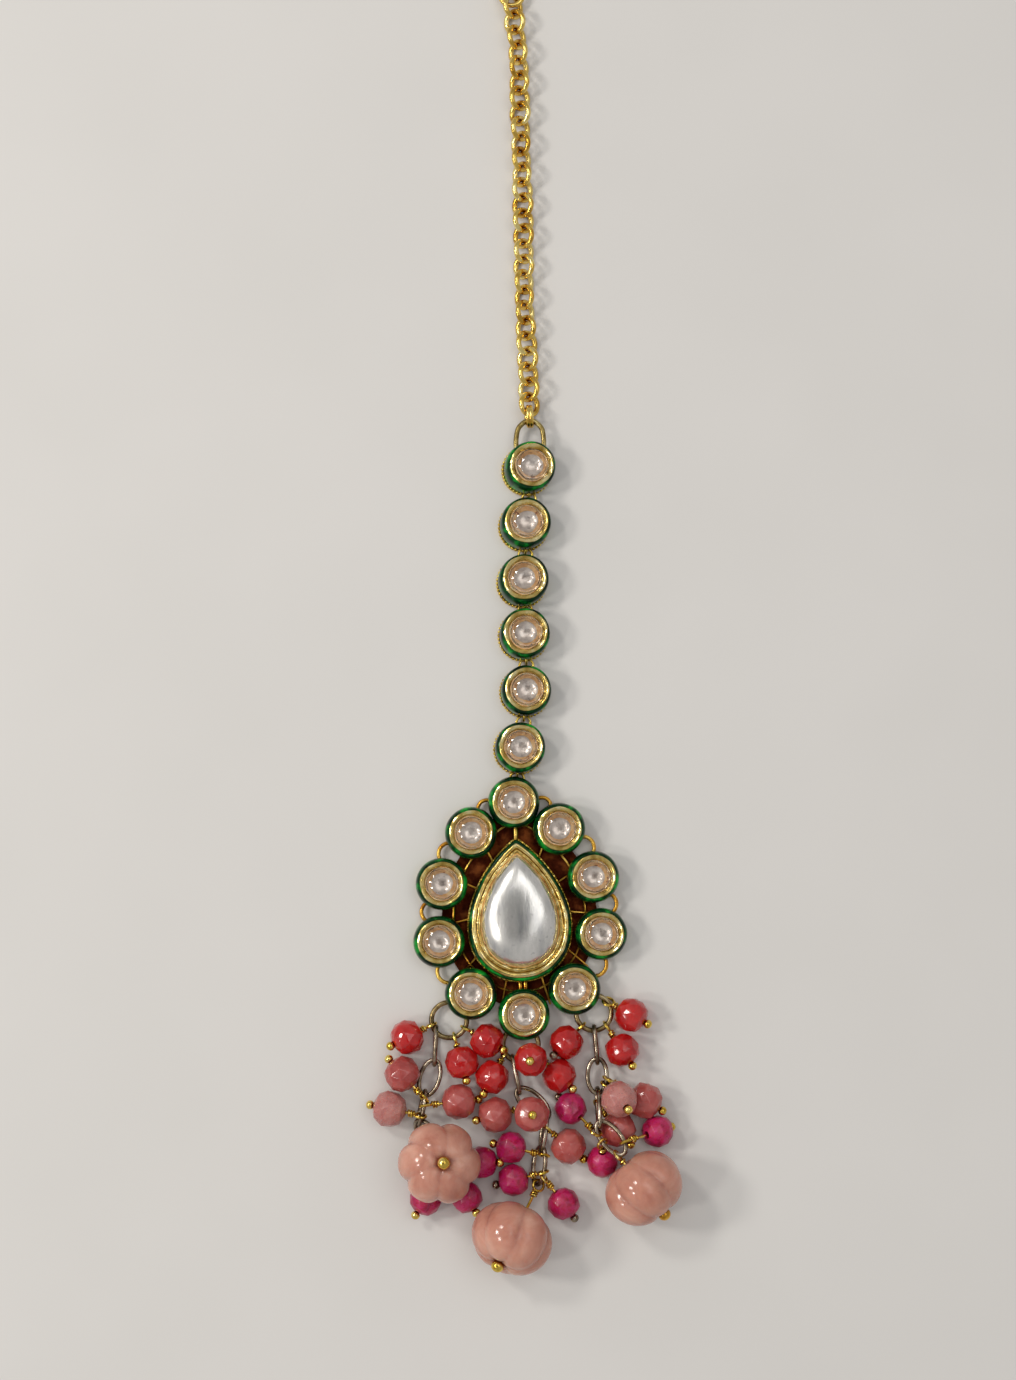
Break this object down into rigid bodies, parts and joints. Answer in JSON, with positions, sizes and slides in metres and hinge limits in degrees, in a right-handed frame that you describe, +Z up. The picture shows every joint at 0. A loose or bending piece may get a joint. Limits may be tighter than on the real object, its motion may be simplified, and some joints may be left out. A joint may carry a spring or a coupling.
{
  "type": "maang tikka",
  "caption": "Forehead jewel laid flat: hair hook, cable chain, column of round foiled stones, teardrop pendant in a ring of cups, and bead tassels.",
  "frame": {"origin": "middle of the jewel's box, on the surface that it lies on", "axes": "+Y from the tassels to the hair hook, +X to the right seen from the front, +Z up out of the stones"},
  "size_m": [0.0386, 0.1708, 0.0117],
  "materials": {
    "chain_gold": "polished yellow gold plating",
    "setting_gold": "worn pale gold foil over brass",
    "antique_metal": "antique, partly silvered",
    "green_enamel": "glossy dark green enamel",
    "foiled_glass": "polished clear glass over silver foil",
    "red_glass": "faceted translucent coral red glass",
    "rose_stone": "faceted rose stone, satin",
    "magenta_stone": "faceted marbled magenta stone, satin",
    "peach_glass": "carved translucent peach pink glass"
  },
  "bodies": {
    "root": {"bead_magenta_1": "magenta_stone", "bead_magenta_2": "magenta_stone", "bead_magenta_3": "magenta_stone", "bead_magenta_4": "magenta_stone", "bead_magenta_5": "magenta_stone", "bead_magenta_6": "magenta_stone", "bead_magenta_7": "magenta_stone", "bead_magenta_8": "magenta_stone", "bead_magenta_9": "magenta_stone", "bead_pink_1": "rose_stone", "bead_pink_2": "rose_stone", "bead_pink_3": "rose_stone", "bead_pink_4": "rose_stone", "bead_pink_5": "rose_stone", "bead_pink_6": "rose_stone", "bead_pink_7": "rose_stone", "bead_pink_8": "rose_stone", "bead_pink_9": "rose_stone", "bead_red_1": "red_glass", "bead_red_2": "red_glass", "bead_red_3": "red_glass", "bead_red_4": "red_glass", "bead_red_5": "red_glass", "bead_red_6": "red_glass", "bead_red_7": "red_glass", "bead_red_8": "red_glass", "bead_red_9": "red_glass", "chain": "chain_gold", "chain_ring": "chain_gold", "hair_hook": "chain_gold", "melon_bead_1": "peach_glass", "melon_bead_2": "peach_glass", "melon_bead_3": "peach_glass", "pendant_frame": "setting_gold", "setting_1": "setting_gold", "setting_2": "setting_gold", "setting_3": "setting_gold", "setting_4": "setting_gold", "setting_5": "setting_gold", "setting_6": "setting_gold", "setting_stone_1": "foiled_glass", "setting_stone_2": "foiled_glass", "setting_stone_3": "foiled_glass", "setting_stone_4": "foiled_glass", "setting_stone_5": "foiled_glass", "setting_stone_6": "foiled_glass", "tassel_left_metal": "antique_metal", "tassel_middle_metal": "antique_metal", "tassel_right_metal": "antique_metal", "teardrop_stone": "foiled_glass"}
  },
  "joints": []
}
